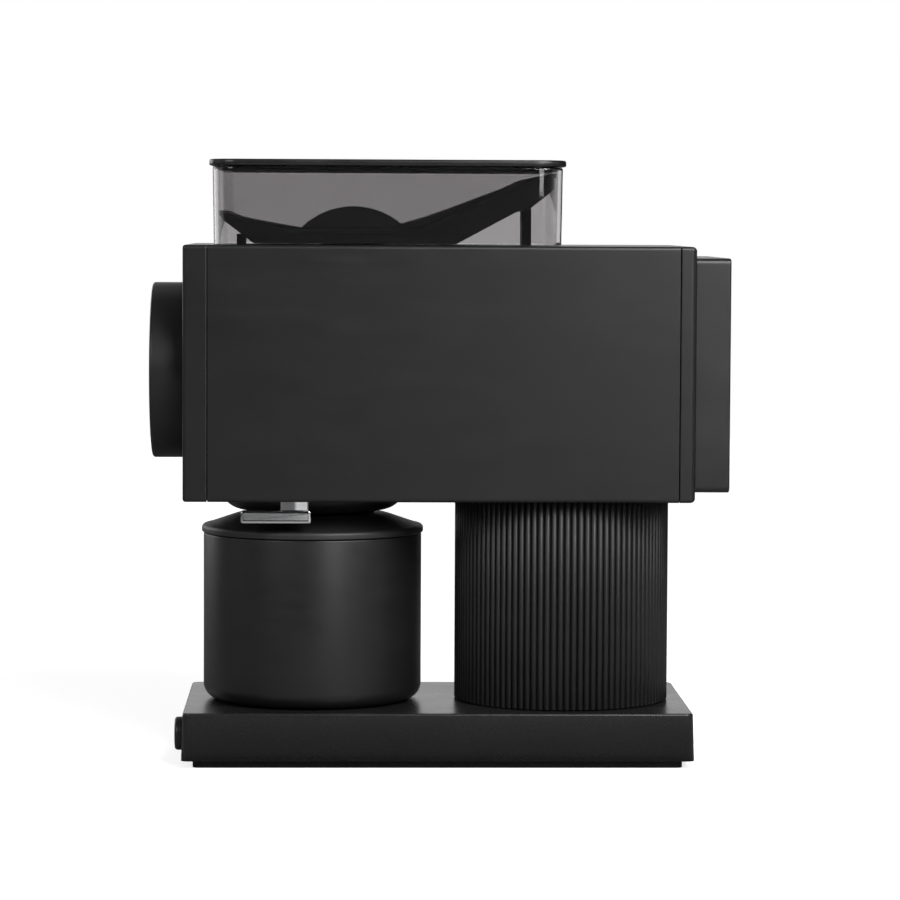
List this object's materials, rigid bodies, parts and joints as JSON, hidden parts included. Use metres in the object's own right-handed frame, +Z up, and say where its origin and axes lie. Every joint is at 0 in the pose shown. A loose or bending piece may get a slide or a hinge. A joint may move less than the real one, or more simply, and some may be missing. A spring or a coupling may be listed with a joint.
{
  "type": "burr coffee grinder",
  "caption": "Flat-burr coffee grinder: slab base, fluted round column, long box body with front dial, smoked hopper, catch cup under the chute.",
  "frame": {"origin": "centre of the base's footprint on the surface it stands on", "axes": "+Z up, -X towards the dial at the front, -Y towards the side with the start button and knocker"},
  "size_m": [0.239, 0.105, 0.2501],
  "materials": {
    "black_coat": "fine matt black powder coat",
    "black_plastic": "fine satin black moulding",
    "black_rubber": "matt black rubber",
    "chrome": "polished",
    "smoked_plastic": "clear smoked plastic",
    "steel": "plain machined",
    "aluminium": "die-cast",
    "copper": "enamelled copper wire",
    "board_green": "printed circuit board"
  },
  "bodies": {
    "frame": {"foot_pad": "black_rubber", "base_plate": "aluminium", "base_shell": "black_coat", "button_spring": "steel", "button_switch": "black_plastic", "control_board": "board_green", "board_heat_sink": "aluminium", "cord_gland": "black_rubber", "base_magnet": "steel", "column_sleeve": "black_coat", "column_core": "aluminium", "column_screw_lower_1": "steel", "column_screw_lower_2": "steel", "column_screw_lower_3": "steel", "column_screw_upper_1": "steel", "column_screw_upper_2": "steel", "column_screw_upper_3": "steel", "wiring_harness": "black_rubber", "main_housing": "black_coat", "front_plate": "black_coat", "rear_plate": "black_coat", "motor_cover": "black_plastic", "index_ring": "steel", "burr_chamber": "aluminium", "front_bearing": "steel", "rear_bearing": "steel", "motor_mount_plate": "aluminium", "motor_can": "steel", "motor_rear_bell": "aluminium", "stator_core": "steel", "stator_winding": "copper", "chute_tube": "black_plastic", "chute_skirt": "black_plastic", "knocker_pin": "steel", "knocker_spring": "steel", "hopper_shell": "smoked_plastic", "bean_bin": "smoked_plastic", "bean_funnel": "black_plastic", "finger_guard": "black_plastic"},
    "start_button": {"start_button": "black_plastic"},
    "dial": {"dial": "black_coat", "dial_screw": "steel", "detent_spring": "steel", "detent_plunger": "steel", "adjuster_screw": "steel"},
    "burr_carrier": {"front_burr_carrier": "aluminium", "front_burr": "steel"},
    "drive": {"drive_shaft": "steel", "rear_burr": "steel", "rear_burr_carrier": "aluminium", "carrier_nut": "steel", "auger": "steel", "motor_rotor": "steel", "cooling_fan": "black_plastic"},
    "knocker": {"knocker": "chrome"},
    "hopper_lid": {"hopper_lid": "black_plastic", "lid_gasket": "black_rubber"},
    "catch_cup": {"cup_body": "black_coat", "cup_lid": "black_plastic", "cup_magnet": "steel"}
  },
  "joints": [
    {"name": "start_button_press", "type": "slide", "parent": "frame", "child": "start_button", "axis": [1, 0, 0], "range_m": [0, 0.0018], "stiffness_N_per_m": 400, "springref_m": -0.003},
    {"name": "dial_turn", "type": "hinge", "parent": "frame", "child": "dial", "pos_m": [-0.112, 0, 0.162], "axis": [1, 0, 0], "range_deg": [-150, 150]},
    {"name": "burr_carrier_slide", "type": "slide", "parent": "frame", "child": "burr_carrier", "axis": [1, 0, 0], "range_m": [-0.00065, 0.00065]},
    {"name": "drive_spin", "type": "hinge", "parent": "frame", "child": "drive", "pos_m": [0, 0, 0.162], "axis": [1, 0, 0], "continuous": true},
    {"name": "knocker_flick", "type": "hinge", "parent": "frame", "child": "knocker", "pos_m": [-0.059, -0.02, 0.119], "axis": [1, 0, 0], "range_deg": [0, 6], "stiffness_Nm_per_rad": 0.08, "springref_deg": -28.65},
    {"name": "hopper_lid_lift", "type": "slide", "parent": "frame", "child": "hopper_lid", "axis": [0, 0, 1], "range_m": [0, 0.05]},
    {"name": "cup_pull_out", "type": "slide", "parent": "frame", "child": "catch_cup", "axis": [-1, 0, 0], "range_m": [0, 0.13]}
  ],
  "couplings": [
    {"joint": "burr_carrier_slide", "follows": "dial_turn", "m_per_rad": 0.00024}
  ]
}
